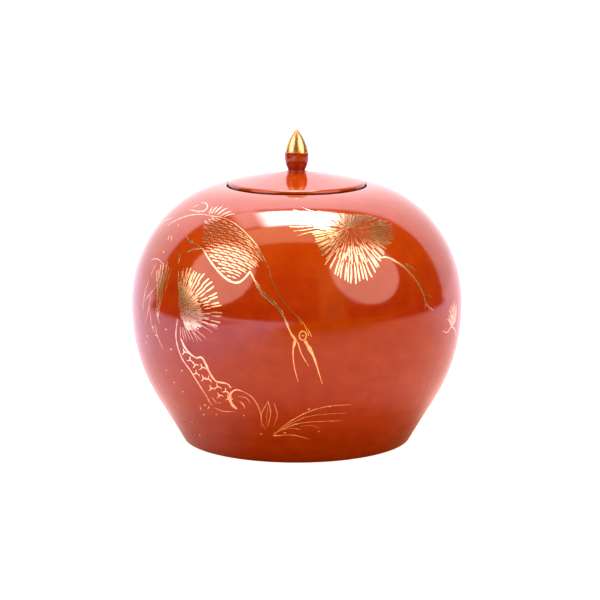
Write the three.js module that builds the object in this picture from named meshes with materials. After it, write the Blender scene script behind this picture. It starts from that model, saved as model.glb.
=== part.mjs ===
// A lidded porcelain ginger jar of the round "melon" form: a thrown body on a turned foot ring, a shallow
// conical lid that sits in a recess round the mouth, with a tubular flange under it, and a bud-shaped finial.
// Millimetres, +Z up. The origin is the centre of the foot ring's resting face.
import * as THREE from "three";

// ---- driving dimensions ---------------------------------------------------------------------------
const TURNS = 72; // facets round the jar and the lid
const FINIAL_TURNS = 36;

const BELLY_RADIUS = 115; // the widest circle
const BELLY_HEIGHT = 96.5;
const WALL = 4.8; // porcelain thickness of the thrown wall

const FOOT = {
  inner: 71.5, // inside edge of the bare resting ring
  outer: 76.8, // outside edge of the resting ring
  recess: 3.6, // how far the glazed underside is sunk
  wallRadius: 79.4, // where the chamfer above the ring meets the wall
  wallHeight: 1.65,
  wallLean: 29.4, // degrees off vertical where the wall leaves the foot
};
const FLOOR_HEIGHT = 8.6; // inside floor
const FLOOR_RADIUS = 62; // flat part of the floor, before it sweeps up into the wall
const FLOOR_SWEEP = 22; // height at which the floor's sweep has become the wall

const SHOULDER = { radius: 50.4, height: 178.7, fall: 7 }; // where it meets the recess's rounded edge
const RECESS = { radius: 48.3, floor: 176.2 }; // the sunk ledge that takes the lid
const MOUTH_RADIUS = 38.5; // inside of the mouth
const SEAT = { inner: 39.5, outer: 43, height: 176.6 }; // the bare ring that the lid rests on
const NECK_DEPTH = 5; // straight inside wall below the seat

const LID = {
  radius: 47.2,
  rimTop: 181, // top of the rounded rim
  crown: 188.2, // flat pad under the finial
  crownRadius: 6.6,
  flangeOuter: 37.2,
  flangeInner: 33.4,
  flangeBottom: 168,
  thickness: 3.9, // of the cone, measured upright
};

const FINIAL = {
  footRadius: 6.4,
  neckRadius: 6.15,
  neckHeight: 1.2, // above the lid
  budRadius: 8.4,
  budHeight: 11.4, // height of the widest circle above the lid
  tip: 29.6, // total height
  tipRadius: 0.9, // roundness of the point
};

// ---- outline helpers ------------------------------------------------------------------------------
const DEGREE = Math.PI / 180;

// A smooth stretch from a to b that leaves a and reaches b along unit directions, with a pull at each end.
function stretch(a, leave, pullA, b, reach, pullB, steps) {
  const curve = new THREE.CubicBezierCurve(
    a,
    a.clone().addScaledVector(leave, pullA),
    b.clone().addScaledVector(reach, -pullB),
    b,
  );
  return curve.getPoints(steps);
}

const at = (radius, height) => new THREE.Vector2(radius, height);
const towards = (degreesFromUp) =>
  at(Math.sin(degreesFromUp * DEGREE), Math.cos(degreesFromUp * DEGREE));

// Shifts each point of an open outline inwards, square to its own direction.
function inset(points, distance) {
  return points.map((p, i) => {
    const before = points[Math.max(i - 1, 0)];
    const after = points[Math.min(i + 1, points.length - 1)];
    const along = after.clone().sub(before).normalize();
    return at(p.x - along.y * distance, p.y + along.x * distance);
  });
}

// Turns an outline (radius, height) about the Z axis into a named mesh.
function turned(name, outline, turns, material) {
  const geometry = new THREE.LatheGeometry(outline, turns);
  geometry.rotateX(Math.PI / 2);
  const mesh = new THREE.Mesh(geometry, material);
  mesh.name = name;
  return mesh;
}

// ---- materials ------------------------------------------------------------------------------------
const coralGlaze = new THREE.MeshStandardMaterial({
  color: 0xc23c08,
  roughness: 0.08,
  metalness: 0,
});
const gilding = new THREE.MeshStandardMaterial({
  color: 0xd9a257,
  roughness: 0.22,
  metalness: 1,
});

// ---- the jar's body -------------------------------------------------------------------------------
// The outside wall from the foot chamfer up to the rounded edge of the lid's recess.
function outerWall() {
  const foot = at(FOOT.wallRadius, FOOT.wallHeight);
  const belly = at(BELLY_RADIUS, BELLY_HEIGHT);
  const shoulder = at(SHOULDER.radius, SHOULDER.height);
  const up = at(0, 1);
  const lower = stretch(foot, towards(FOOT.wallLean), 32.4, belly, up, 47.1, 9);
  const upper = stretch(belly, up, 41.9, shoulder, towards(-90 + SHOULDER.fall), 35.3, 12);
  return [...lower, ...upper.slice(1)];
}

function jarBody() {
  const wall = outerWall();
  // The inside wall follows the outside one, from above the floor's sweep to below the recess.
  const neckBottom = SEAT.height - NECK_DEPTH;
  const inside = inset(wall, WALL).filter(
    (p) => p.y > FLOOR_SWEEP && p.x > RECESS.radius + 10,
  );
  const sweepEnd = inside[0];
  const sweepDirection = inside[1].clone().sub(sweepEnd).normalize();
  const sweep = stretch(
    at(FLOOR_RADIUS, FLOOR_HEIGHT),
    at(1, 0),
    12,
    sweepEnd,
    sweepDirection,
    8,
    6,
  );
  const outline = [
    at(0, FOOT.recess),
    at(FOOT.inner - 2.4, FOOT.recess),
    at(FOOT.inner - 0.8, FOOT.recess - 0.9),
    at(FOOT.inner, 0),
    at(FOOT.outer, 0),
    at(FOOT.wallRadius - 1.1, 0.55),
    ...wall,
    at(RECESS.radius + 1.3, SHOULDER.height + 0.05),
    at(RECESS.radius + 0.5, SHOULDER.height - 0.15),
    at(RECESS.radius, SHOULDER.height - 0.7),
    at(RECESS.radius, RECESS.floor),
    at(SEAT.outer + 0.5, RECESS.floor),
    at(SEAT.outer, SEAT.height),
    at(SEAT.inner, SEAT.height),
    at(MOUTH_RADIUS, SEAT.height - 1),
    at(MOUTH_RADIUS, neckBottom),
    ...inside.reverse(),
    ...sweep.reverse().slice(1),
    at(0, FLOOR_HEIGHT),
  ];
  return turned("jar_body", outline, TURNS, coralGlaze);
}

// ---- the lid --------------------------------------------------------------------------------------
function lid() {
  const rimInner = at(LID.radius - 1.5, LID.rimTop + 0.3);
  const crown = at(LID.crownRadius, LID.crown);
  const cone = stretch(rimInner, towards(-78), 14, crown, towards(-82), 10, 8);
  const underRise = (LID.crown - LID.rimTop) / LID.radius; // the inside follows the cone's slope
  const flangeRoot = LID.rimTop - LID.thickness + underRise * (LID.radius - LID.flangeInner);
  const outline = [
    at(0, LID.crown - LID.thickness),
    at(LID.flangeInner - 1.2, flangeRoot),
    at(LID.flangeInner, flangeRoot - 1.2),
    at(LID.flangeInner, LID.flangeBottom + 1),
    at(LID.flangeInner + 1, LID.flangeBottom),
    at(LID.flangeOuter - 1, LID.flangeBottom),
    at(LID.flangeOuter, LID.flangeBottom + 1),
    at(LID.flangeOuter, SEAT.height),
    at(LID.radius - 0.8, SEAT.height),
    at(LID.radius, SEAT.height + 0.8),
    at(LID.radius, LID.rimTop - 1.4),
    at(LID.radius - 0.5, LID.rimTop - 0.4),
    ...cone,
    at(0, LID.crown),
  ];
  return turned("lid", outline, TURNS, coralGlaze);
}

// ---- the finial -----------------------------------------------------------------------------------
function finial() {
  const base = LID.crown;
  const neck = at(FINIAL.neckRadius, base + FINIAL.neckHeight);
  const bud = at(FINIAL.budRadius, base + FINIAL.budHeight);
  const shoulderOfTip = at(FINIAL.tipRadius, base + FINIAL.tip - 1);
  const up = at(0, 1);
  const outline = [
    at(0, base),
    at(FINIAL.footRadius, base),
    at(FINIAL.footRadius, base + 0.3),
    ...stretch(neck, up, 1.4, bud, up, 7.4, 7),
    ...stretch(bud, up, 1.8, shoulderOfTip, towards(-42), 9.3, 11).slice(1),
    at(FINIAL.tipRadius * 0.5, base + FINIAL.tip - 0.3),
    at(0, base + FINIAL.tip),
  ];
  return turned("finial", outline, FINIAL_TURNS, gilding);
}

const jar = new THREE.Group();
jar.add(jarBody(), lid(), finial());

export default jar;
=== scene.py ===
import bisect
import math
import random

import bpy
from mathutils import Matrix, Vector


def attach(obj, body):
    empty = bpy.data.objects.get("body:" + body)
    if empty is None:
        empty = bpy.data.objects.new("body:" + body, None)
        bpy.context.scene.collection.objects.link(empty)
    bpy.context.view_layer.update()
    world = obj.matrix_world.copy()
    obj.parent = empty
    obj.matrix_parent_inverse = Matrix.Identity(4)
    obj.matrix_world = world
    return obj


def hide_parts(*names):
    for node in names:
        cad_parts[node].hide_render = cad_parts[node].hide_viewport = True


# A ginger jar: a turned porcelain body in coral-red enamel, with a shallow lid and a bud-shaped finial. It is
# gilded by brush with a stooping crane, pine sprays, an old trunk and grass.
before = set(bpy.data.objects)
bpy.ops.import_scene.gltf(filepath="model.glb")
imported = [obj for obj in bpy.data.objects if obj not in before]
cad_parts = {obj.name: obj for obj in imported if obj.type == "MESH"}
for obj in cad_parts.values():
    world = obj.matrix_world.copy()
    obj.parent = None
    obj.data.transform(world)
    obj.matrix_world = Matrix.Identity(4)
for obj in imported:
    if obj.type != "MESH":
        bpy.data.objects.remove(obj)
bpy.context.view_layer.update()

MM = 0.001
TINY = 1e-6

# ---- driving dimensions, in millimetres -----------------------------------------------------------
# A point of an outline is (radius, height above the table).
BELLY = (115.0, 96.5)  # the widest circle
FOOT_TOP = (79.4, 1.65)  # where the wall starts above the foot ring's chamfer
SHOULDER_END = (50.4, 178.7)  # where the shoulder meets the rounded edge of the lid's recess
WALL_LEAN = 29.4  # degrees off upright where the wall leaves the foot
SHOULDER_FALL = 7.0  # degrees off level where the shoulder ends
WALL = 4.8  # thickness of the thrown wall

FOOT_INNER = 71.5  # inside edge of the bare resting ring
FOOT_OUTER = 76.8  # outside edge of the resting ring
UNDERSIDE = 3.6  # height of the sunk, glazed underside
FLOOR_RADIUS = 62  # flat part of the inside floor
FLOOR_HEIGHT = 8.6
FLOOR_SWEEP = 22  # height at which the floor's sweep has become the wall

RECESS_RADIUS = 48.3  # the sunk ledge that takes the lid
RECESS_FLOOR = 176.2
SEAT_OUTER = 43.0  # the bare ring that the lid rests on
SEAT_HEIGHT = 176.6
MOUTH_RADIUS = 38.5
NECK_DEPTH = 5  # straight inside wall below the seat

LID_RADIUS = 47.2
LID_RIM_TOP = 181.0
LID_CROWN = 188.2
LID_THICKNESS = 3.9  # at the crown
CROWN_RADIUS = 6.6  # the flat pad under the finial
FLANGE_OUTER = 37.2  # the tube under the lid that keeps it in the mouth
FLANGE_INNER = 33.4
FLANGE_ROOT = 179.3
FLANGE_BOTTOM = 168.0

# The finial's heights are measured from the lid's crown.
FINIAL_FOOT_RADIUS = 7.1  # where the clay that joins it to the lid spreads out
FINIAL_NECK = (6.15, 1.2)
FINIAL_BUD = (8.4, 11.4)
FINIAL_TIP_RADIUS = 0.9
FINIAL_HEIGHT = 29.6
GILDED_FROM = 13.2  # where its gold begins
FINIAL_GILT = 0.05  # how far the gold stands above and reaches below the glaze

GILT_LIFT = 0.06  # how far a gold stroke stands proud of the glaze
GILT_SINK = 0.05  # how far its lower face is buried
STROKE_TOP = 0.86  # width of a stroke's upper face, against its base
BRUSH = 0.76  # how wide a stroke lands, against the width it is drawn with

JAR_TURNS = 288  # facets round each turned piece
LID_TURNS = 240
FINIAL_TURNS = 96

UP = (0.0, 1.0)  # straight up an outline


# ---- outlines -------------------------------------------------------------------------------------
def towards(degrees_from_up):
    """A unit direction in an outline."""
    turn = math.radians(degrees_from_up)
    return (math.sin(turn), math.cos(turn))


def stretch(a, leave, pull_a, b, reach, pull_b, steps):
    """A smooth run of points from a to b that leaves and arrives along the given directions."""
    c = (a[0] + leave[0] * pull_a, a[1] + leave[1] * pull_a)
    d = (b[0] - reach[0] * pull_b, b[1] - reach[1] * pull_b)
    points = []
    for i in range(steps + 1):
        t = i / steps
        u = 1 - t
        points.append(
            tuple(
                u**3 * a[k] + 3 * u * u * t * c[k] + 3 * u * t * t * d[k] + t**3 * b[k]
                for k in (0, 1)
            )
        )
    return points


def fillet(corner, before, after, radius, steps=5):
    """Rounds a corner between two neighbouring points."""

    def toward(p):
        dx, dy = p[0] - corner[0], p[1] - corner[1]
        size = math.hypot(dx, dy)
        return (dx / size, dy / size)

    u, v = toward(before), toward(after)
    start = (corner[0] + u[0] * radius, corner[1] + u[1] * radius)
    end = (corner[0] + v[0] * radius, corner[1] + v[1] * radius)
    points = []
    for i in range(steps + 1):
        t = i / steps
        points.append(
            tuple(
                (1 - t) ** 2 * start[k] + 2 * (1 - t) * t * corner[k] + t * t * end[k]
                for k in (0, 1)
            )
        )
    return points


def around(corner, *offsets):
    """The points of a rounded edge, each given by how far it lies from the sharp corner."""
    return [(corner[0] + x, corner[1] + y) for x, y in offsets]


def outer_wall(lower_steps, upper_steps):
    """The outside of the jar from the foot's chamfer up over the belly to the lid's recess."""
    lower = stretch(FOOT_TOP, towards(WALL_LEAN), 32.4, BELLY, UP, 47.1, lower_steps)
    over = towards(-90 + SHOULDER_FALL)
    upper = stretch(BELLY, UP, 41.9, SHOULDER_END, over, 35.3, upper_steps)
    return lower + upper[1:]


def inset(points, distance):
    """Shifts each point of an outline inwards, square to its own direction."""
    moved = []
    for i, p in enumerate(points):
        a = points[max(i - 1, 0)]
        b = points[min(i + 1, len(points) - 1)]
        dx, dy = b[0] - a[0], b[1] - a[1]
        size = math.hypot(dx, dy)
        moved.append((p[0] - dy / size * distance, p[1] + dx / size * distance))
    return moved


# ---- meshes ---------------------------------------------------------------------------------------
def new_object(name, vertices, faces, materials, face_slots=None):
    """A smooth mesh object from vertices in millimetres. face_slots gives each face its material's index."""
    mesh = bpy.data.meshes.new(name)
    mesh.from_pydata([tuple(c * MM for c in v) for v in vertices], [], faces)
    for material in materials:
        mesh.materials.append(material)
    if face_slots:
        mesh.polygons.foreach_set("material_index", face_slots)
    mesh.shade_smooth()
    mesh.update()
    obj = bpy.data.objects.new(name, mesh)
    bpy.context.scene.collection.objects.link(obj)
    return obj


def turned(name, bands, turns, materials):
    """Turns an outline about Z. bands is a list of (material, points), and each band goes on from the one
    before it, so the faces that lead to a point take that point's material."""
    outline, slots = [], []
    for material, points in bands:
        for p in points:
            if outline and math.dist(p, outline[-1]) < TINY:
                continue
            outline.append(p)
            slots.append(materials.index(material))
    vertices, rings = [], []
    for r, z in outline:
        if r < TINY:
            rings.append([len(vertices)] * turns)
            vertices.append((0.0, 0.0, z))
            continue
        rings.append(list(range(len(vertices), len(vertices) + turns)))
        for i in range(turns):
            a = 2 * math.pi * i / turns
            vertices.append((r * math.cos(a), r * math.sin(a), z))
    faces, face_slots = [], []
    for k in range(len(rings) - 1):
        low, high = rings[k], rings[k + 1]
        for i in range(turns):
            j = (i + 1) % turns
            corners = [low[i], low[j], high[j], high[i]]
            face = [c for n, c in enumerate(corners) if c not in corners[:n]]
            if len(face) > 2:
                faces.append(face)
                face_slots.append(slots[k + 1])
    return new_object(name, vertices, faces, materials, face_slots)


# ---- node helpers ---------------------------------------------------------------------------------
class Nodes:
    """Short calls for building a node tree."""

    def __init__(self, tree):
        self.tree = tree
        tree.nodes.clear()

    def add(self, kind, inputs=(), **settings):
        node = self.tree.nodes.new(kind)
        for key, value in settings.items():
            setattr(node, key, value)
        for key, value in dict(inputs).items():
            self.feed(node, key, value)
        return node

    def feed(self, node, key, value):
        """Links a node or socket to an input, or sets the input's own value."""
        if isinstance(value, bpy.types.Node):
            value = value.outputs[0]
        if isinstance(value, bpy.types.NodeSocket):
            self.tree.links.new(value, node.inputs[key])
        else:
            node.inputs[key].default_value = value

    def math(self, operation, a, b):
        return self.add("ShaderNodeMath", {0: a, 1: b}, operation=operation)

    def scaled(self, value, low, high, low_result, high_result):
        """Turns low to high into low_result to high_result, evenly, and stops at both ends."""
        return self.add(
            "ShaderNodeMapRange",
            {
                "Value": value,
                "From Min": low,
                "From Max": high,
                "To Min": low_result,
                "To Max": high_result,
            },
        )

    def step(self, value, low, high):
        """Goes smoothly from 0 at low to 1 at high. Either may be the larger."""
        return self.add(
            "ShaderNodeMapRange",
            {"Value": value, "From Min": low, "From Max": high},
            interpolation_type="SMOOTHSTEP",
        )

    def times(self, *values):
        result = values[0]
        for value in values[1:]:
            result = self.math("MULTIPLY", result, value)
        return result

    def plus(self, *values):
        result = values[0]
        for value in values[1:]:
            result = self.math("ADD", result, value)
        return result

    def ramp(self, value, *stops):
        """A colour that runs through (place, colour) stops."""
        node = self.add("ShaderNodeValToRGB", {"Fac": value})
        while len(node.color_ramp.elements) < len(stops):
            node.color_ramp.elements.new(0.5)
        for element, (place, colour) in zip(node.color_ramp.elements, stops):
            element.position = place
            element.color = (*colour, 1.0)
        return node.outputs["Color"]

    def noise(self, where, scale, detail=3.0, roughness=0.5):
        node = self.add(
            "ShaderNodeTexNoise",
            {"Vector": where, "Scale": scale, "Detail": detail, "Roughness": roughness},
        )
        return node.outputs["Fac"]

    def mix(self, factor, a, b):
        """Goes from colour a to colour b as the factor goes from 0 to 1."""
        node = self.add("ShaderNodeMix", data_type="RGBA")
        for socket, value in ((0, factor), (6, a), (7, b)):
            self.feed(node, socket, (*value, 1.0) if isinstance(value, tuple) else value)
        return node.outputs[2]

    def where(self):
        """The place on the object, in metres."""
        return self.add("ShaderNodeTexCoord").outputs["Object"]

    def camera_ray(self):
        """Is 1 where the camera sees the surface itself, and 0 in reflections and light."""
        return self.add("ShaderNodeLightPath").outputs["Is Camera Ray"]

    def bump(self, height, strength, distance):
        return self.add(
            "ShaderNodeBump", {"Strength": strength, "Distance": distance, "Height": height}
        )

    def finish(self, **inputs):
        """Ends a material with one Principled shader. A name's underscores stand for spaces."""
        settings = {key.replace("_", " "): value for key, value in inputs.items()}
        shader = self.add("ShaderNodeBsdfPrincipled", settings)
        self.add("ShaderNodeOutputMaterial", {"Surface": shader})


def material_of(name):
    material = bpy.data.materials.new(name)
    material.use_nodes = True
    return material, Nodes(material.node_tree)


# ---- materials ------------------------------------------------------------------------------------
# the enamel's tones low on a piece and high on it: darker below one height, paler above another
LOWER_ENAMEL = (
    (0.32, (0.235, 0.015, 0.0003)),
    (0.52, (0.273, 0.023, 0.0005)),
    (0.7, (0.302, 0.034, 0.0010)),
)
UPPER_ENAMEL = (
    (0.32, (0.266, 0.027, 0.0006)),
    (0.52, (0.300, 0.035, 0.0010)),
    (0.7, (0.324, 0.046, 0.0016)),
)


def coral_glaze(name, paler_between=(0.095, 0.165), stain_and_gap_shade_below=None):
    """Opaque coral-red enamel, brushed on in bands round the jar and fired to a high gloss. It is darker
    below one height and paler above another, and the lid's has a dark iron-brown edge below a third, all in
    metres: a dressing that is also painted shade in the gap under the lid's rim."""
    material, n = material_of(name)
    where = n.where()
    height = n.add("ShaderNodeSeparateXYZ", {0: where}).outputs["Z"]
    banded = n.add("ShaderNodeMapping", {"Vector": where, "Scale": (9.0, 9.0, 95.0)})
    bands = n.noise(banded, 1.6, 3.0, 0.6)
    blotches = n.noise(where, 75.0, 5.0, 0.62)
    wash = n.plus(n.times(bands, 0.3), n.times(blotches, 0.7))
    # darker tones low down and paler tones high up, blended between the two heights
    thick = n.ramp(wash, *LOWER_ENAMEL)
    thin = n.ramp(wash, *UPPER_ENAMEL)
    colour = n.mix(n.step(height, *paler_between), thick, thin)

    # sparse pinholes and iron specks
    cells = n.add("ShaderNodeTexVoronoi", {"Vector": where, "Scale": 95.0})
    chosen = n.math("GREATER_THAN", n.add("ShaderNodeSeparateColor", {0: cells.outputs["Color"]}), 0.8)
    speck = n.times(n.step(cells.outputs["Distance"], 0.06, 0.025), chosen)
    colour = n.mix(n.times(speck, 0.75), colour, (0.10, 0.008, 0.002))

    # the lid's lower edge turns dark iron-brown: a dressing that is also painted shade in the gap under its
    # rim
    if stain_and_gap_shade_below:
        edge = n.step(height, stain_and_gap_shade_below + 0.0003, stain_and_gap_shade_below - 0.0003)
        colour = n.mix(edge, colour, (0.035, 0.004, 0.001))

    ripple = n.noise(where, 120.0, 2.0, 0.5)
    relief = n.bump(n.plus(ripple, n.times(speck, -0.6), n.times(bands, 0.5)), 0.35, 0.00006)
    gloss = n.scaled(n.noise(where, 45.0, 3.0, 0.6), 0.3, 0.7, 0.055, 0.11)
    n.finish(Base_Color=colour, Roughness=gloss, IOR=1.56, Normal=relief)
    return material


def white_glaze():
    """Clear glaze over white porcelain, inside the jar and under the lid."""
    material, n = material_of("white_glaze")
    cloud = n.noise(n.where(), 30.0)
    colour = n.ramp(cloud, (0.3, (0.72, 0.75, 0.72)), (0.7, (0.80, 0.82, 0.79)))
    n.finish(Base_Color=colour, Roughness=0.08, IOR=1.5)
    return material


def biscuit():
    """Bare fired porcelain, matt and a little gritty."""
    material, n = material_of("biscuit")
    grit = n.noise(n.where(), 900.0, 2.0)
    colour = n.ramp(grit, (0.35, (0.50, 0.43, 0.33)), (0.65, (0.68, 0.62, 0.53)))
    n.finish(Base_Color=colour, Roughness=0.75, Normal=n.bump(grit, 0.4, 0.0002))
    return material


def iron_wash_and_gap_shade():
    """The thin dark brown dressing inside the lid's recess, where the enamel stops, which is also painted
    shade in the gap round the lid.
    """
    material, n = material_of("iron_wash_and_gap_shade")
    patchy = n.noise(n.where(), 350.0)
    colour = n.ramp(patchy, (0.35, (0.022, 0.003, 0.001)), (0.65, (0.055, 0.008, 0.003)))
    n.finish(Base_Color=colour, Roughness=0.45)
    return material


def gilding(name, thin, middle, thick, dull, polished):
    """Brushed-on gold, fired and burnished, a little worn: its colour where it is thin, middling
    and thick, and its roughness where it is dull and where it is polished."""
    material, n = material_of(name)
    where = n.where()
    wear = n.noise(where, 420.0, 3.0, 0.6)
    colour = n.ramp(wear, (0.3, thin), (0.5, middle), (0.7, thick))
    polish = n.scaled(wear, 0.3, 0.7, dull, polished)
    brushed = n.bump(n.noise(where, 1500.0, 2.0), 0.3, 0.00002)
    n.finish(Base_Color=colour, Metallic=1.0, Roughness=polish, Normal=brushed)
    return material


CORAL = coral_glaze("coral_glaze")
# its dark lower edge is a dressing and also painted shade in the gap under its rim
LID_CORAL = coral_glaze("coral_glaze_lid", stain_and_gap_shade_below=0.1793)
FINIAL_CORAL = coral_glaze("coral_glaze_finial", paler_between=(0.19, 0.26))
STAIN_AND_GAP_SHADE = iron_wash_and_gap_shade()
WHITE = white_glaze()
BARE = biscuit()
GOLD = gilding(
    "gilding", (0.74, 0.48, 0.29), (0.87, 0.65, 0.46), (0.94, 0.76, 0.59), dull=0.26, polished=0.15
)
FINIAL_GOLD = gilding(
    "gilding_finial", (0.70, 0.40, 0.17), (0.84, 0.56, 0.31), (0.93, 0.68, 0.43), dull=0.34, polished=0.22
)


# ---- the jar's body -------------------------------------------------------------------------------
def jar_body():
    wall = outer_wall(70, 90)

    # the inside wall follows the outside one, from above the floor's sweep to below the recess
    inside = [p for p in inset(wall, WALL) if p[1] > FLOOR_SWEEP and p[0] > RECESS_RADIUS + 10]
    sweep_end = inside[0]
    run = (inside[1][0] - sweep_end[0], inside[1][1] - sweep_end[1])
    size = math.hypot(*run)
    rise = (run[0] / size, run[1] / size)
    sweep = stretch((FLOOR_RADIUS, FLOOR_HEIGHT), (1, 0), 12, sweep_end, rise, 8, 14)

    # the corners that the outline goes round, from under the foot to the mouth
    sunk = (FOOT_INNER - 1.5, UNDERSIDE)
    ring_inner = (FOOT_INNER, 0)
    ring_outer = (FOOT_OUTER, 0)
    on_ring = ((FOOT_INNER + FOOT_OUTER) / 2, 0)
    recess_edge = (RECESS_RADIUS, SHOULDER_END[1])
    recess_foot = (RECESS_RADIUS, RECESS_FLOOR)
    seat_edge = (SEAT_OUTER, SEAT_HEIGHT)
    mouth_edge = (MOUTH_RADIUS, SEAT_HEIGHT)
    neck_bottom = (MOUTH_RADIUS, SEAT_HEIGHT - NECK_DEPTH)
    bands = [
        (WHITE, [(0, UNDERSIDE), (40, UNDERSIDE)]),
        (WHITE, fillet(sunk, (40, UNDERSIDE), (FOOT_INNER - 0.5, 0.9), 1.6)),
        (BARE, [(FOOT_INNER - 0.6, 1.2)]),
        (BARE, fillet(ring_inner, (FOOT_INNER - 0.6, 1.2), on_ring, 0.5)),
        (BARE, fillet(ring_outer, on_ring, (FOOT_TOP[0] - 1.1, 0.55), 0.4)),
        (BARE, around(FOOT_TOP, (-1.3, -1.18))),
        (CORAL, around(FOOT_TOP, (-1.0, -1.03), (-0.5, -0.7))),
        (CORAL, wall),
        (CORAL, around(recess_edge, (1.6, 0.05), (1.2, 0.03), (0.8, -0.1), (0.45, -0.32), (0.2, -0.6))),
        # the recess's wall and ledge are dark dressing, which is also painted shade in the gap round the lid
        (STAIN_AND_GAP_SHADE, around(recess_edge, (0.05, -0.95), (0, -1.4), (0, -1.8))),
        (STAIN_AND_GAP_SHADE, around(recess_foot, (-0.1, 0.3), (-0.4, 0.07), (-0.8, 0))),
        (STAIN_AND_GAP_SHADE, [(SEAT_OUTER + 0.6, RECESS_FLOOR)]),
        (BARE, around(seat_edge, (0.3, -0.3), (0, -0.08), (-0.3, 0))),
        (BARE, around(mouth_edge, (1.1, 0), (0.5, -0.2), (0.1, -0.7))),
        (WHITE, around(mouth_edge, (0, -1.4))),
        (WHITE, around(neck_bottom, (0, 1), (0.4, 0.1))),
        (WHITE, inside[::-3]),
        (WHITE, sweep[::-1]),
        (WHITE, [(30, FLOOR_HEIGHT), (0, FLOOR_HEIGHT)]),
    ]
    obj = turned("jar_glazed_body", bands, JAR_TURNS, [CORAL, WHITE, BARE, STAIN_AND_GAP_SHADE])
    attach(obj, "jar")
    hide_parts("jar_body")


# ---- the lid --------------------------------------------------------------------------------------
def lid():
    rim_inner = (LID_RADIUS - 1.75, LID_RIM_TOP + 0.3)
    crown = (CROWN_RADIUS, LID_CROWN)
    cone = stretch(rim_inner, towards(-78), 14, crown, towards(-82), 10, 30)

    # the corners that the outline goes round, from inside the flange to the rim
    root_inner = (FLANGE_INNER, FLANGE_ROOT)
    root_outer = (FLANGE_OUTER, SEAT_HEIGHT)
    flange_inner = (FLANGE_INNER, FLANGE_BOTTOM)
    flange_outer = (FLANGE_OUTER, FLANGE_BOTTOM)
    rim_foot = (LID_RADIUS, SEAT_HEIGHT)
    rim_top = (LID_RADIUS, LID_RIM_TOP)
    bands = [
        (WHITE, around((0, LID_CROWN), (0, -LID_THICKNESS), (10, -4.6), (20, -6.3))),
        (WHITE, around(root_inner, (-1.6, 0), (-0.8, -0.3), (-0.2, -1.0), (0, -1.7))),
        (WHITE, around(flange_inner, (0, 1.1))),
        (BARE, around(flange_inner, (0.1, 0.7), (0.5, 0.2), (1.0, 0))),
        (BARE, around(flange_outer, (-1.0, 0), (-0.4, 0.2), (-0.1, 0.6))),
        (WHITE, around(flange_outer, (0, 1.1))),
        (WHITE, around(root_outer, (0, -0.8))),
        (BARE, around(root_outer, (0, -0.2), (0.3, 0))),
        (BARE, around(rim_foot, (-0.9, 0))),
        (LID_CORAL, around(rim_foot, (-0.45, 0.1), (-0.15, 0.35), (0, 0.8))),
        (LID_CORAL, around(rim_top, (0, -2.4), (-0.04, -1.8), (-0.18, -1.25), (-0.42, -0.75))),
        (LID_CORAL, around(rim_top, (-0.75, -0.3), (-1.2, 0.05))),
        (LID_CORAL, [*cone, (0, LID_CROWN)]),
    ]
    obj = turned("lid_glazed", bands, LID_TURNS, [LID_CORAL, WHITE, BARE])
    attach(obj, "cover")
    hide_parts("lid")


# ---- the finial -----------------------------------------------------------------------------------
def on_crown(radius, height):
    """A point of an outline, given by its height above the lid's crown."""
    return (radius, LID_CROWN + height)


def finial_outline():
    foot = on_crown(FINIAL_FOOT_RADIUS, 0.05)
    neck = on_crown(*FINIAL_NECK)
    bud = on_crown(*FINIAL_BUD)
    tip = on_crown(FINIAL_TIP_RADIUS, FINIAL_HEIGHT - 1.0)
    outline = stretch(foot, (-0.9, 0.3), 0.8, neck, UP, 0.7, 5)
    outline += stretch(neck, UP, 1.4, bud, UP, 7.4, 20)[1:]
    outline += stretch(bud, UP, 1.8, tip, towards(-42), 9.3, 34)[1:]
    outline += stretch(tip, towards(-42), 0.6, on_crown(0, FINIAL_HEIGHT), (-1, 0), 0.5, 6)[1:]
    return outline


def finial():
    outline = [on_crown(0, 0), on_crown(FINIAL_FOOT_RADIUS, 0), *finial_outline()]
    obj = turned("finial_bud", [(FINIAL_CORAL, outline)], FINIAL_TURNS, [FINIAL_CORAL])
    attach(obj, "cover")
    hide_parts("finial")


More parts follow.
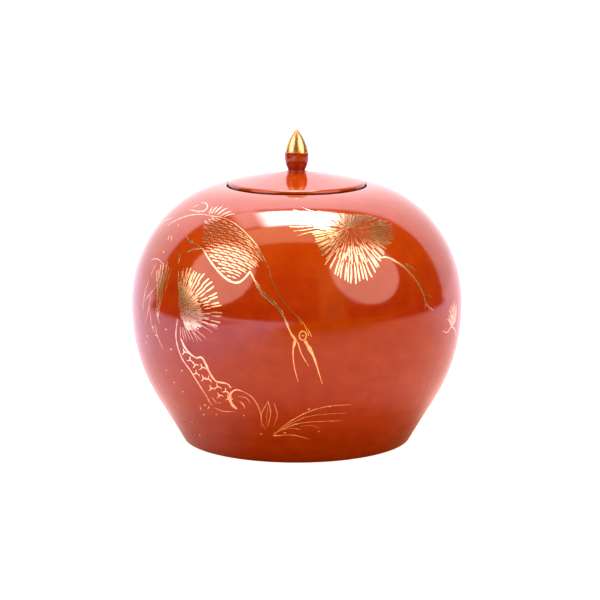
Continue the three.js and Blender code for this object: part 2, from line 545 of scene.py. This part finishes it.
def finial_gilding():
    """Gold brushed over the upper bud: a thin closed shell with an uneven lower edge."""
    outline = finial_outline()
    lengths = [0.0]
    for a, b in zip(outline, outline[1:]):
        lengths.append(lengths[-1] + math.dist(a, b))
    edge = next(s for s, p in zip(lengths, outline) if p[1] > LID_CROWN + GILDED_FROM)
    end = lengths[-1] - 0.15

    def at(along, lift):
        """The point at a length along the outline, lifted square to it."""
        i = min(max(bisect.bisect_right(lengths, along) - 1, 1), len(outline) - 3)
        t = (along - lengths[i]) / (lengths[i + 1] - lengths[i])
        r, z = (a + (b - a) * t for a, b in zip(outline[i], outline[i + 1]))
        dr, dz = (b - a for a, b in zip(outline[i - 1], outline[i + 2]))
        size = math.hypot(dr, dz)
        return (r + dz / size * lift, z - dr / size * lift)

    rows = 40
    top = LID_CROWN + FINIAL_HEIGHT
    vertices = [(0, 0, top + FINIAL_GILT), (0, 0, top - FINIAL_GILT)]
    for lift in (FINIAL_GILT, -FINIAL_GILT):
        for k in range(rows):
            for i in range(FINIAL_TURNS):
                a = 2 * math.pi * i / FINIAL_TURNS
                wave = 0.28 * math.sin(3 * a + 0.6) + 0.2 * math.sin(8 * a) + 0.13 * math.sin(19 * a + 2)
                start = edge + wave
                r, z = at(start + (end - start) * k / (rows - 1), lift)
                vertices.append((r * math.cos(a), r * math.sin(a), z))

    outer = 2  # the first vertex of the outer face, after the two at the tip
    inner = outer + rows * FINIAL_TURNS
    last = (rows - 1) * FINIAL_TURNS
    faces = []
    for i in range(FINIAL_TURNS):
        j = (i + 1) % FINIAL_TURNS
        for low in range(0, last, FINIAL_TURNS):
            high = low + FINIAL_TURNS
            faces.append((outer + low + i, outer + low + j, outer + high + j, outer + high + i))
            faces.append((inner + high + i, inner + high + j, inner + low + j, inner + low + i))
        faces.append((outer + last + i, outer + last + j, 0))
        faces.append((inner + last + j, inner + last + i, 1))
        faces.append((inner + i, inner + j, outer + j, outer + i))
    obj = new_object("finial_gilding", vertices, faces, [FINIAL_GOLD])
    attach(obj, "cover")


jar_body()
lid()
finial()
finial_gilding()


# ---- gilding --------------------------------------------------------------------------------------
def wall_table():
    """Length along the wall from the foot, radius, height and outward direction, at close steps."""
    points = outer_wall(300, 380)
    table, along = [], 0.0
    for i, p in enumerate(points):
        a = points[max(i - 1, 0)]
        b = points[min(i + 1, len(points) - 1)]
        along += math.dist(points[i - 1], p) if i else 0.0
        dr, dz = b[0] - a[0], b[1] - a[1]
        size = math.hypot(dr, dz)
        table.append((along, *p, dz / size, -dr / size))
    return table


TABLE = wall_table()
LENGTHS = [row[0] for row in TABLE]


def wall_at(along):
    """Radius, height and outward direction at a length along the wall."""
    along = min(max(along, 0.5), LENGTHS[-1] - 0.5)
    i = bisect.bisect_right(LENGTHS, along) - 1
    t = (along - LENGTHS[i]) / (LENGTHS[i + 1] - LENGTHS[i])
    return [a + (b - a) * t for a, b in zip(TABLE[i][1:], TABLE[i + 1][1:])]


class Sheet:
    """Flat drawing paper laid on the wall, in millimetres: x runs round the jar from a heading, and y climbs
    it from the foot. A mirrored sheet runs the other way round."""

    def __init__(self, heading, shift=0, mirror=False):
        self.heading = math.radians(heading)
        self.shift = shift
        self.side = -1 if mirror else 1

    def place(self, x, y, lift):
        r, z, out, up = wall_at(y)
        a = self.heading + (self.shift + self.side * x) / r
        r += out * lift
        return (r * math.sin(a), -r * math.cos(a), z + up * lift)


def smooth(points, step):
    """A curve through the points, resampled about every step millimetres."""
    ends = [
        tuple(2 * points[0][k] - points[1][k] for k in (0, 1)),
        tuple(2 * points[-1][k] - points[-2][k] for k in (0, 1)),
    ]
    run = [ends[0], *points, ends[1]]
    curve = []
    for i in range(1, len(run) - 2):
        a, b, c, d = run[i - 1 : i + 3]
        count = max(2, round(math.dist(b, c) / step))
        for j in range(count):
            t = j / count
            curve.append(
                tuple(
                    0.5
                    * (
                        2 * b[k]
                        + (c[k] - a[k]) * t
                        + (2 * a[k] - 5 * b[k] + 4 * c[k] - d[k]) * t * t
                        + (3 * b[k] - a[k] - 3 * c[k] + d[k]) * t**3
                    )
                    for k in (0, 1)
                )
            )
    curve.append(points[-1])
    return curve


def between(values, t):
    """Reads a list of values, spread evenly from t = 0 to t = 1, and fills in between them."""
    place = t * (len(values) - 1)
    i = min(int(place), len(values) - 2)
    return values[i] + (values[i + 1] - values[i]) * (place - i)


class Gilt:
    """Brush strokes of gold on one sheet. Each stroke is a thin closed ribbon, half sunk in the glaze."""

    def __init__(self, sheet, seed):
        self.sheet = sheet
        self.chance = random.Random(seed)
        self.vertices = []
        self.faces = []

    def ribbon(self, points, widths):
        """One stroke along the points, which is the given width at each of them."""
        lift = GILT_LIFT * self.chance.uniform(0.85, 1.25)
        section = ((1, -GILT_SINK), (STROKE_TOP, lift), (-STROKE_TOP, lift), (-1, -GILT_SINK))
        start = len(self.vertices)
        for i, p in enumerate(points):
            a = points[max(i - 1, 0)]
            b = points[min(i + 1, len(points) - 1)]
            dx, dy = b[0] - a[0], b[1] - a[1]
            size = math.hypot(dx, dy) or 1.0
            # a mirrored sheet turns the section over, so its corners are laid the other way round
            half = widths[i] / 2 * BRUSH * self.sheet.side
            for side, height in section:
                x = p[0] - dy / size * half * side
                y = p[1] + dx / size * half * side
                self.vertices.append(self.sheet.place(x, y, height))
        count = len(points)
        for i in range(count - 1):
            low = start + 4 * i
            for k in range(4):
                j = (k + 1) % 4
                self.faces.append((low + k, low + j, low + 4 + j, low + 4 + k))
        self.faces.append((start + 3, start + 2, start + 1, start))
        last = start + 4 * (count - 1)
        self.faces.append((last, last + 1, last + 2, last + 3))

    def line(self, points, *widths, step=1.2):
        """A long stroke through the points. The widths are spread evenly along it, and a single width
        tapers off at both ends."""
        if len(widths) == 1:
            widths = [widths[0] * taper for taper in (0.5, 1, 1, 0.4)]
        curve = smooth(points, step)
        waver = self.chance.uniform(0, 6)
        sizes = []
        for i in range(len(curve)):
            t = i / (len(curve) - 1)
            sizes.append(between(widths, t) * (1 + 0.14 * math.sin(waver + i * 0.9)))
        self.ribbon(curve, sizes)

    def dash(self, x, y, degrees, length, widths, bend=0.0):
        """A short stroke that starts at x, y and runs at an angle from the sheet's x."""
        turn = math.radians(degrees)
        curve, sizes = [], []
        for i in range(5):
            t = i / 4
            side = bend * length * 4 * t * (1 - t)
            curve.append(
                (
                    x + math.cos(turn) * length * t - math.sin(turn) * side,
                    y + math.sin(turn) * length * t + math.cos(turn) * side,
                )
            )
            sizes.append(between(widths, t))
        self.ribbon(curve, sizes)

    def dot(self, x, y, size):
        curve = [(x - size / 2 + size * t, y) for t in (0.0, 0.25, 0.5, 0.75, 1.0)]
        self.ribbon(curve, [size * w for w in (0.45, 0.85, 1.0, 0.85, 0.45)])

    def fan(self, centre, reach, rows):
        """Pine needles round a centre. reach gives (degrees, radius) pairs, and rows is one of the tables of
        needles below."""
        for inner, outer, spacing, widths, stray in rows:
            angle = reach[0][0] + self.chance.uniform(0, spacing)
            while angle < reach[-1][0]:
                for (a, ra), (b, rb) in zip(reach, reach[1:]):
                    if a <= angle <= b:
                        size = ra + (rb - ra) * (angle - a) / (b - a)
                wobble = self.chance.uniform(-stray, stray)
                begin = size * (inner + self.chance.uniform(-0.03, 0.03))
                end = size * (outer + self.chance.uniform(-0.05, 0.03))
                turn = math.radians(angle + wobble)
                self.dash(
                    centre[0] + math.cos(turn) * begin,
                    centre[1] + math.sin(turn) * begin,
                    angle + wobble * 2,
                    end - begin,
                    widths,
                    self.chance.uniform(-0.05, 0.05),
                )
                angle += spacing * self.chance.uniform(0.85, 1.15)

    def finish(self, name):
        obj = new_object(name, self.vertices, self.faces, [GOLD])
        obj.data.shade_flat()
        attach(obj, "jar")


# ---- the crane ------------------------------------------------------------------------------------
# Every motif is drawn in its sheet's millimetres.
def within(point, outline):
    """True where the point is inside a closed outline."""
    x, y = point
    found = False
    for (ax, ay), (bx, by) in zip(outline, outline[1:] + outline[:1]):
        if (ay > y) != (by > y) and x < ax + (y - ay) * (bx - ax) / (by - ay):
            found = not found
    return found


def feathers(gilt, plumage):
    """Rows of short curved strokes that fill the plumage and turn down with the bird's back."""
    row_gap = 2.0
    feather = (0.55, 1.25, 1.4, 1.15, 0.4)
    half_feather = (0.5, 1.1, 1.0, 0.4)
    for row in range(-15, 30):
        x = -73.0 + (row % 2) * 3.6  # every other row is set over by half a feather
        y = 150.0 + row * row_gap
        while x < -20:
            slope = -4 - 46 * max(0.0, (x + 60) / 38) ** 1.8
            length = gilt.chance.uniform(6.2, 7.6)
            turn = math.radians(slope)
            nx = x + math.cos(turn) * length
            ny = y + math.sin(turn) * length
            starts = within((x, y), plumage)
            ends = within((nx, ny), plumage)
            middle = ((x + nx) / 2, (y + ny) / 2)
            if starts and ends:
                gilt.dash(x, y + 0.5, slope - 5, length, feather, 0.05)
            elif (starts or ends) and within(middle, plumage):
                start = (x, y) if starts else middle
                gilt.dash(*start, slope - 5, length / 2, half_feather, 0.04)
            x, y = nx + 0.4 * math.cos(turn), ny + 0.4 * math.sin(turn)


def crane(gilt):
    """A stooping crane: rows of feathers on a rounded back, a long thin neck and an open bill."""
    back = [(-65, 183), (-54, 183), (-45, 180), (-38, 175), (-32, 169), (-27, 163), (-23, 156), (-19, 148)]
    nape = [(-19, 148), (-16, 138), (-11, 128), (-3, 118), (4, 111), (8, 102)]
    breast = [(-68, 157), (-62, 150), (-56, 144), (-50, 139), (-44, 136), (-39, 136), (-35, 139), (-31, 144)]
    throat = [(-31, 144), (-28, 138), (-23, 130), (-17, 125), (-11, 119), (-7, 111), (-4, 104), (-1, 99)]
    gilt.line(back, 0.6, 1.1, 1.1, 0.9)
    gilt.line(nape, 0.9, 0.7, 0.6, 0.9)
    gilt.line(breast, 1.2, 1.7, 1.8, 1.8, 1.4)
    gilt.line(throat, 1.0, 2.4, 2.9, 2.0, 1.8, 1.4)

    plumage = [(-68, 158), (-72, 166), (-71, 178), (-64, 181.5), (-53, 181.8), (-45, 178.8), (-38, 173.5)]
    plumage += [(-32, 167.5), (-26, 161), (-21, 150), (-26, 145), (-31, 145), (-35, 140.5), (-39, 137.5)]
    plumage += [(-44, 137.5), (-50, 140), (-56, 145), (-62, 151)]
    feathers(gilt, plumage)

    # the head: an eye in a ring, and a long bill with its lower half open
    eye = (4, 102)
    turns = [t * math.pi / 6 for t in range(13)]
    ring = [(eye[0] + 2.3 * math.cos(turn), eye[1] + 3.0 * math.sin(turn)) for turn in turns]
    gilt.line(ring, 1.0, 1.2, 1.0, 1.2, step=0.6)
    gilt.dot(*eye, 1.3)
    gilt.line([(5.5, 98.5), (8, 94), (11, 88), (13, 82), (15, 75), (17, 68)], 2.6, 3.2, 2.0, 1.1, 0.8, 0.5)
    gilt.line([(-4, 104), (-1, 99), (-1.8, 94)], 1.0, 2.4, 1.0)
    gilt.line([(-2, 98), (-2.4, 89), (-1.5, 80), (1, 70)], 1.2, 0.9, 0.7, 0.4)
    gilt.line([(0.5, 98), (3.5, 89), (8, 81)], 1.1, 0.8, 0.4)
    gilt.line([(1, 113), (4, 109)], 0.7)
    gilt.line([(7, 107), (10, 101)], 0.8)

    # tail plumes and trailing legs
    plumes = [(-64, 185, 62, 9), (-61, 186, 52, 10), (-58, 185, 45, 11), (-55, 184, 36, 10)]
    plumes += [(-52, 184, 24, 9), (-66, 184, 78, 8)]
    for *root, degrees, length in plumes:
        gilt.dash(*root, degrees, length, (0.5, 1.3, 1.2, 0.4), 0.06)
    gilt.line([(-80, 193), (-73, 193.5), (-70, 190), (-73, 186), (-80, 185)], 0.5, 1.2, 1.2, 0.6)
    gilt.line([(-91, 184), (-84, 184.5), (-77, 184)], 0.9)
    gilt.line([(-88, 187), (-82, 190.5)], 0.9)
    gilt.line([(-116, 167), (-100, 175), (-87, 180), (-74, 183), (-65, 183)], 0.8)
    gilt.line([(-85, 164), (-80, 160), (-76, 160), (-68, 157)], 0.6, 1.3, 1.0, 1.2)
    gilt.dot(-79, 161, 2.2)
    gilt.line([(-82, 153), (-76, 155.5), (-68, 157)], 1.0, 1.2, 1.3)


# ---- the pine -------------------------------------------------------------------------------------
# Rings of needles: how far out each starts and ends, against the spray's radius, its spacing in degrees, its
# widths from root to tip, and how many degrees it strays.
NEEDLES = [
    (0.66, 1.0, 4.3, (0.5, 1.15, 1.45, 1.5, 1.0), 1.2),
    (0.50, 0.69, 4.7, (0.5, 1.15, 1.3, 0.7), 1.6),
    (0.36, 0.53, 5.8, (0.4, 1.0, 1.1, 0.6), 2.2),
    (0.22, 0.39, 8.5, (0.4, 0.8, 0.8, 0.4), 3.0),
    (0.08, 0.24, 15.0, (0.4, 0.8, 0.7, 0.4), 6.0),
]
DENSE_NEEDLES = [
    (0.76, 1.0, 3.6, (0.4, 0.85, 0.95, 0.5), 2.5),
    (0.55, 0.80, 4.0, (0.5, 0.95, 0.95, 0.5), 3.0),
    (0.36, 0.58, 5.4, (0.4, 0.8, 0.8, 0.4), 3.0),
    (0.20, 0.40, 8.5, (0.4, 0.8, 0.7, 0.4), 4.0),
    (0.06, 0.22, 18.0, (0.4, 0.8, 0.7, 0.4), 6.0),
]
OPEN_NEEDLES = [
    (0.76, 1.0, 5.4, (0.5, 1.1, 1.4, 1.4, 0.9), 1.2),
    (0.58, 0.78, 5.8, (0.5, 1.1, 1.3, 0.8), 1.6),
    (0.40, 0.60, 7.0, (0.4, 1.0, 1.1, 0.6), 2.2),
    (0.24, 0.42, 9.5, (0.4, 0.9, 0.9, 0.5), 3.0),
]
THIN_NEEDLES = [(0.50, 1.0, 8.0, (0.25, 0.5, 0.55, 0.4, 0.2), 2.0)]
FINE_NEEDLES = [
    (0.52, 1.0, 6.0, (0.4, 0.65, 0.75, 0.6, 0.25), 2.5),
    (0.30, 0.62, 8.0, (0.4, 0.75, 0.7, 0.3), 3.0),
]


def pine_top(gilt):
    """The large pine spray high on the shoulder, with a small spray trailing to its left."""
    lower = [(-180, 27), (-155, 25), (-135, 28), (-115, 34), (-90, 39), (-68, 40), (-50, 34), (-34, 33)]
    upper = [(-34, 32), (-10, 33), (10, 27), (35, 19), (60, 14), (90, 13), (120, 17), (150, 23), (180, 27)]
    gilt.fan((37, 175), lower, NEEDLES)
    gilt.fan((37, 175), upper, DENSE_NEEDLES)
    gilt.fan((50, 172), [(-60, 17), (-20, 24), (10, 22), (35, 14)], DENSE_NEEDLES)
    gilt.fan((34, 180), [(146, 36), (160, 41), (180, 41), (197, 34)], FINE_NEEDLES)


def branch(gilt):
    """The twig that leaves the spray to the right and bends down."""
    twig = [(56, 151), (64, 151), (72, 147), (79, 142.5), (85, 137), (91, 131), (96, 123), (99, 115)]
    twig += [(105, 111)]
    gilt.line(twig, 0.9, 1.6, 1.9, 1.5, 1.9, 1.3, 0.7)
    gilt.line([(81, 143.5), (86, 142), (91, 138)], 1.2, 0.9, 0.4)
    gilt.dot(82, 144, 1.8)
    gilt.line([(97, 121), (102, 121), (106, 118)], 0.8)
    for x, y, degrees in ((99, 116, -60), (98, 119, -100), (101, 113, -30)):
        gilt.dash(x, y, degrees, 7, (0.8, 0.9, 0.6, 0.3), 0.08)


def pine_side(gilt):
    """The half spray beside the crane's breast, on top of the old trunk: open at its right, dense at its
    left."""
    centre = (-86, 112)
    open_side = [(-12, 33), (8, 36), (33, 35), (51, 34), (69, 31), (80, 31)]
    shaded = [(58, 22), (72, 28), (84, 29), (97, 28)]
    heart = [(-60, 12), (-24, 20), (8, 20), (45, 18), (97, 20)]
    lower = [(-92, 19), (-60, 21), (-40, 26), (-24, 30), (-8, 33)]
    gilt.fan(centre, open_side, OPEN_NEEDLES)
    gilt.fan(centre, shaded, DENSE_NEEDLES)
    for _ in range(2):  # the heart is brushed over twice
        gilt.fan(centre, heart, DENSE_NEEDLES)
    gilt.fan(centre, lower, THIN_NEEDLES)


def trunk(gilt):
    """A bent pine trunk: two outlines, forked bark marks between them and a knot at its foot."""
    left = [(-88, 107), (-89.5, 94), (-85, 81), (-77, 72), (-69, 61), (-62, 51)]
    right = [(-72, 82), (-67, 83), (-64, 79), (-61, 73), (-56, 67), (-48, 66), (-45, 63)]
    gilt.line(left, 0.9, 1.1, 1.0, 0.9, 0.5)
    gilt.line([(-85, 94), (-81, 88), (-76, 84), (-71, 82)], 1.0, 2.4, 2.0, 0.8)
    gilt.line(right, 1.4, 2.2, 1.9, 1.5, 0.9)
    marks = [(-82, 85, 20), (-77, 80, -10), (-73, 77, 30), (-72, 71, -5), (-67, 76, 15), (-66, 68, 25)]
    marks += [(-62, 68, -15), (-60, 61, 20), (-55, 63, 5), (-54, 56, 25), (-49, 60, -10), (-47, 55, 15)]
    for x, y, turn in marks:
        for arm, length in ((90, 2.7), (205, 3.2), (-30, 3.6)):
            gilt.dash(x, y, arm + turn, length, (1.3, 1.2, 0.9, 0.5), 0.1)
    knot = [(-41, 46), (-44, 49), (-46, 54), (-45, 59), (-41, 62), (-36, 61)]
    gilt.line(knot, 1.6, 3.0, 3.2, 2.0, 1.0, 0.6)
    gilt.line([(-36, 61), (-30, 57), (-26, 50), (-24, 42), (-23, 35), (-21, 29)], 0.8)
    gilt.line([(-59, 45), (-51, 43), (-42, 44)], 0.7)
    gilt.line([(-39, 53), (-36, 50), (-35, 47)], 0.9)
    gilt.line([(-40, 57), (-34, 56), (-31, 51)], 0.5)
    gilt.line([(-64, 52), (-60, 47)], 0.8)
    gilt.line([(-60, 54), (-56, 49)], 0.6)


# ---- what lies round them -------------------------------------------------------------------------
def grass(gilt):
    """Leaves and blades of grass at the foot of the trunk."""
    gilt.line([(-24, 32), (-23.5, 44), (-19, 54.5)], 0.8)
    gilt.line([(-19, 54.5), (-17.5, 44), (-20, 31)], 0.9)
    gilt.line([(-19.5, 50), (-20.5, 34)], 0.5)
    gilt.line([(-15, 53), (-13, 43), (-15.5, 33)], 0.8)
    gilt.line([(-16, 24), (-6, 36), (6, 45), (20, 50), (37, 50.5)], 1.2, 1.1, 0.9, 0.7, 0.4)
    gilt.line([(-15, 26), (-5, 33), (8, 37), (31, 37)], 1.1, 1.0, 0.9, 0.4)
    gilt.line([(-8, 33), (5, 41), (18, 43.5), (34, 43.5)], 0.7, 0.7, 0.6, 0.3)
    gilt.line([(-16, 23.5), (-4, 25), (9, 21)], 1.3, 1.1, 0.4)
    gilt.line([(-11, 29), (-4, 31.5), (3, 30)], 0.8)
    gilt.line([(2, 33), (9, 34), (16, 31)], 0.5)


def dew(gilt):
    """Loose dots and small strokes of gold round the trunk and the grass."""
    spots = [(-100, 98), (-112, 92), (-116, 97), (-125, 89), (-128, 84), (-95, 85), (-102, 68), (-85, 71)]
    spots += [(-94, 60), (-86, 54), (-66, 46), (-68, 37), (-57, 39), (-36, 41), (-81, 27), (-75, 15)]
    spots += [(-24, 25), (8, 48), (22, 50), (15, 28), (-98, 170), (-109, 149), (-8, 27), (-54, 50)]
    for x, y in spots:
        gilt.dot(x, y, gilt.chance.uniform(1.0, 1.7))
    for x, y, degrees in ((-107, 158, 80), (-102, 158, 95), (-64, 43, 60), (-70, 41, 100)):
        gilt.dash(x, y, degrees, 3.2, (0.7, 0.9, 0.4))
    gilt.line([(-89, 151), (-89.5, 144)], 2.0, 2.2, 1.2, 0.5)
    gilt.line([(-112, 174), (-128, 168), (-142, 160)], 0.5)
    gilt.line([(-126, 141), (-116, 143), (-106, 141)], 0.7)
    gilt.line([(-117, 140), (-122, 131)], 0.6)
    gilt.line([(-113, 125), (-118, 121), (-128, 113)], 0.6)
    gilt.line([(-113, 111), (-107, 101)], 0.6)


def pine_far(gilt):
    """Looser needles at the sides of the front, which lead round to the side sprays."""
    left = (-110, 103)
    right = (142, 90)
    gilt.fan(left, [(70, 40), (82, 41), (98, 32)], DENSE_NEEDLES)
    gilt.fan(left, [(72, 38), (84, 38), (96, 28)], DENSE_NEEDLES)
    strands = [
        [(-118, 122), (-122, 108), (-128, 97)],
        [(-113, 100), (-110, 92), (-104, 84)],
        [(-120, 110), (-118, 100), (-113, 92)],
        [(-124, 128), (-129, 118), (-131, 106)],
    ]
    for strand in strands:
        gilt.line(strand, 0.6)
    gilt.fan(right, [(76, 17), (100, 23), (128, 22), (150, 16)], FINE_NEEDLES)
    gilt.fan(right, [(84, 18), (104, 20), (140, 17)], FINE_NEEDLES)
    gilt.line([(119, 94), (126, 91.5), (133, 94), (141, 91), (147, 85), (149, 78)], 0.5, 1.1, 1.2, 0.9, 0.5)
    gilt.line([(133, 94), (131, 98), (126, 101)], 0.9, 0.8, 0.4)


def spray(gilt):
    """A round pine spray on a bare twig, at each side of the jar."""
    lower = [(-205, 25), (-165, 28), (-125, 30), (-90, 32), (-60, 30), (-20, 27)]
    upper = [(-20, 27), (20, 24), (60, 20), (100, 18), (130, 20), (155, 25)]
    twig = [(14, 92), (20, 84), (19, 75), (25, 66), (22, 56), (26, 47)]
    gilt.fan((0, 118), lower, NEEDLES)
    gilt.fan((0, 118), upper, DENSE_NEEDLES)
    gilt.fan((4, 124), [(18, 32), (34, 36), (52, 31)], FINE_NEEDLES)
    gilt.line(twig, 1.0, 1.7, 1.9, 1.5, 1.7, 1.2, 0.6)
    gilt.line([(20, 76), (13, 71), (8, 63)], 1.2, 1.0, 0.4)
    gilt.line([(24, 62), (30, 57), (34, 49)], 1.1, 0.9, 0.4)
    for x, y, degrees in ((26, 47, -75), (26, 48, -100), (8, 63, -120), (34, 49, -60)):
        gilt.dash(x, y, degrees, 6, (0.8, 0.9, 0.6, 0.3), 0.08)
    for x, y in ((-12, 80), (-18, 71), (2, 55), (38, 72), (44, 84), (-4, 44)):
        gilt.dot(x, y, gilt.chance.uniform(1.0, 1.7))


def decorate():
    """The front's motifs, the same mirrored on the back, and a spray at each side. Each motif has a chance
    of its own, so that no two fall alike."""
    motifs = [crane, pine_top, branch, pine_side, trunk, grass, dew, pine_far]
    sheets = [("front", Sheet(0), 5), ("back", Sheet(180, shift=8, mirror=True), 4)]
    for number, motif in enumerate(motifs):
        for side, sheet, seed in sheets:
            gilt = Gilt(sheet, 100 * number + seed)
            motif(gilt)
            gilt.finish(f"gilt_{motif.__name__}_{side}")
    for side, heading in (("right", 97), ("left", -97)):
        gilt = Gilt(Sheet(heading, mirror=heading < 0), 1000 + heading)
        spray(gilt)
        gilt.finish(f"gilt_spray_{side}")


decorate()


# ---- stage, light and camera ----------------------------------------------------------------------
# Places are in metres, and directions are unit vectors.
def floor_painted_light(n):
    """Painted light and shade on the table, as the glaze mirrors it and as it throws light back: warm in
    front, cooler behind and at the left, a painted pool of light by the foot at the front left, painted shade
    by the foot at the front right, and painted shade past the table's edges."""
    where = n.where()
    x, y, _ = n.add("ShaderNodeSeparateXYZ", {0: where}).outputs
    radius = n.add("ShaderNodeVectorMath", {0: where}, operation="LENGTH").outputs["Value"]
    # by the foot: a painted pool of light at the front left, and painted shade at the front right
    by_foot = n.step(radius, 0.14, 0.08)
    front_left = n.times(by_foot, n.step(x, -0.02, -0.07))
    front_right = n.times(by_foot, n.step(y, 0.02, -0.09), n.step(x, -0.08, -0.02))

    # painted shade past the edges: far in front, and beyond a slanting edge at each side
    ahead = n.step(y, -4.0, -9.0)
    right = n.times(n.step(x, 0.9, 1.5), n.step(n.plus(y, n.times(x, -0.57)), 0.15, -0.15))
    left = n.times(n.step(x, -0.6, -1.1), n.step(n.plus(y, n.times(x, 0.45)), 0.1, -0.1))
    beside = n.times(n.plus(right, left), n.step(y, -1.6, -0.7))

    # each painted patch of light or shade is laid over those before it
    painted_patches = [
        (n.step(y, -0.25, 0.45), (0.68, 0.58, 0.73)),
        (n.step(y, -0.3, -0.65), (0.48, 0.29, 0.08)),
        (n.step(y, -0.55, -1.0), (0.44, 0.22, 0.0)),
        (n.step(x, -0.02, -0.35), (0.66, 0.66, 0.90)),
        (front_left, (0.98, 0.92, 0.98)),
        (front_right, (0.60, 0.28, 0.0)),
        (n.math("MAXIMUM", ahead, beside), (0.12, 0.04, 0.02)),
    ]
    tint = (0.74, 0.45, 0.28)
    for share, colour in painted_patches:
        tint = n.mix(share, tint, colour)
    return tint


def floor():
    """A white table top. The camera sees it as plain white paper with the faintest contact shadow, and
    reflections and bounced light see it painted with light and shade.
    """
    material, n = material_of("studio_floor")
    matt = n.add("ShaderNodeBsdfDiffuse", {"Color": floor_painted_light(n)})
    paper = n.add("ShaderNodeBsdfDiffuse", {"Color": (0.6, 0.6, 0.6, 1)})
    glow = n.add("ShaderNodeEmission", {"Color": (1, 1, 1, 1), "Strength": 0.86})
    seen = n.add("ShaderNodeAddShader", {0: paper, 1: glow})
    surface = n.add("ShaderNodeMixShader", {0: n.camera_ray(), 1: matt, 2: seen})
    n.add("ShaderNodeOutputMaterial", {"Surface": surface})
    half = 12000  # millimetres
    corners = [(-half, -half, 0), (half, -half, 0), (half, half, 0), (-half, half, 0)]
    plane = new_object("studio_floor", corners, [(0, 1, 2, 3)], [material])


def window(n, value, low, high, soft):
    """Is 1 between low and high, and fades to 0 across each edge."""
    return n.times(
        n.step(value, low - soft, low + soft),
        n.step(value, high + soft, high - soft),
    )


def umbrella(n, direction, azimuth, elevation, radius):
    """A round lamp of a given radius, all in degrees. Azimuth 0 is in front of the jar."""
    soft = 0.02
    a, e, r = (math.radians(v) for v in (azimuth, elevation, radius))
    towards_it = (math.sin(a) * math.cos(e), -math.cos(a) * math.cos(e), math.sin(e))
    x, y, z = (n.times(part, share) for part, share in zip(direction, towards_it))
    return n.step(n.plus(x, y, z), math.cos(r + soft), math.cos(r - soft))


def studio():
    """Light by direction: a bright cove behind, two round umbrellas in front, a soft box overhead with a
    wing and a warm bounce beside it, a warm upright strip, and a dark room."""
    world = bpy.data.worlds.new("studio")
    world.use_nodes = True
    n = Nodes(world.node_tree)
    generated = n.add("ShaderNodeTexCoord").outputs["Generated"]
    x, y, z = n.add("ShaderNodeSeparateXYZ", {0: generated}).outputs

    tilt = n.math("SUBTRACT", y, n.times(x, 0.05))
    aside = n.plus(1.0, n.times(x, x, -0.15), n.times(n.step(x, 0.0, 0.6), -0.18))
    cove = n.times(n.step(tilt, 0.465, 0.515), n.plus(n.times(z, z, 2.2), 1.75), aside)

    # a level ceiling at height 1 carries the box, its wing and the bounce
    safe = n.math("MAXIMUM", z, 0.05)
    across = n.math("DIVIDE", x, safe)
    along = n.math("DIVIDE", y, safe)
    high = n.step(z, 0.3, 0.35)
    box = n.times(window(n, across, -0.25, 0.25, 0.06), window(n, along, 0.04, 0.46, 0.025), high)
    wing = n.times(window(n, across, -0.48, -0.25, 0.06), window(n, along, 0.08, 0.55, 0.06), high)
    bounce = n.times(window(n, across, -0.5, 0.36, 0.04), window(n, along, -0.33, 0.03, 0.03), high)

    front = n.math("ARCTAN2", x, n.times(y, -1.0))
    strip = n.times(window(n, front, 0.28, 0.6, 0.04), window(n, z, -0.1, 0.75, 0.08))
    left = umbrella(n, (x, y, z), -63, 31, 24)
    right = umbrella(n, (x, y, z), 58, 33, 24)

    lamps = [
        (cove, 1.0, (0.84, 0.81, 0.93)),
        (box, 20.0, (1.0, 0.97, 0.97)),
        (wing, 3.0, (1.0, 0.97, 0.97)),
        (bounce, 2.5, (1.0, 0.82, 0.5)),
        (strip, 0.9, (1.0, 0.5, 0.08)),
        (n.plus(left, right), 2.75, (1.6, 1.02, 0.82)),
    ]
    total = (0.18, 0.11, 0.02)  # the dark room
    for share, strength, tint in lamps:
        part = n.add("ShaderNodeVectorMath", {0: tint}, operation="SCALE")
        n.feed(part, "Scale", n.times(share, strength))
        total = n.add("ShaderNodeVectorMath", {0: total, 1: part}, operation="ADD")
    lit = n.add("ShaderNodeBackground", {"Color": total})
    white = n.add("ShaderNodeBackground", {"Color": (1, 1, 1, 1)})
    seen = n.add("ShaderNodeMixShader", {0: n.camera_ray(), 1: lit, 2: white})
    n.add("ShaderNodeOutputWorld", {"Surface": seen})
    bpy.context.scene.world = world


def camera():
    """A long lens a little above the jar, aimed just under its middle."""
    elevation = math.radians(10.574)
    distance = 1.979
    middle = 0.1
    aim = Vector((0.0023, 0, 0.0976))
    data = bpy.data.cameras.new("camera")
    data.sensor_width = 36
    data.lens = 170.5
    data.clip_end = 50
    obj = bpy.data.objects.new("camera", data)
    bpy.context.scene.collection.objects.link(obj)
    obj.location = (0, -distance * math.cos(elevation), middle + distance * math.sin(elevation))
    obj.rotation_euler = (aim - obj.location).to_track_quat("-Z", "Y").to_euler()
    bpy.context.scene.camera = obj


floor()
studio()
camera()
bpy.context.scene.view_settings.view_transform = "Standard"
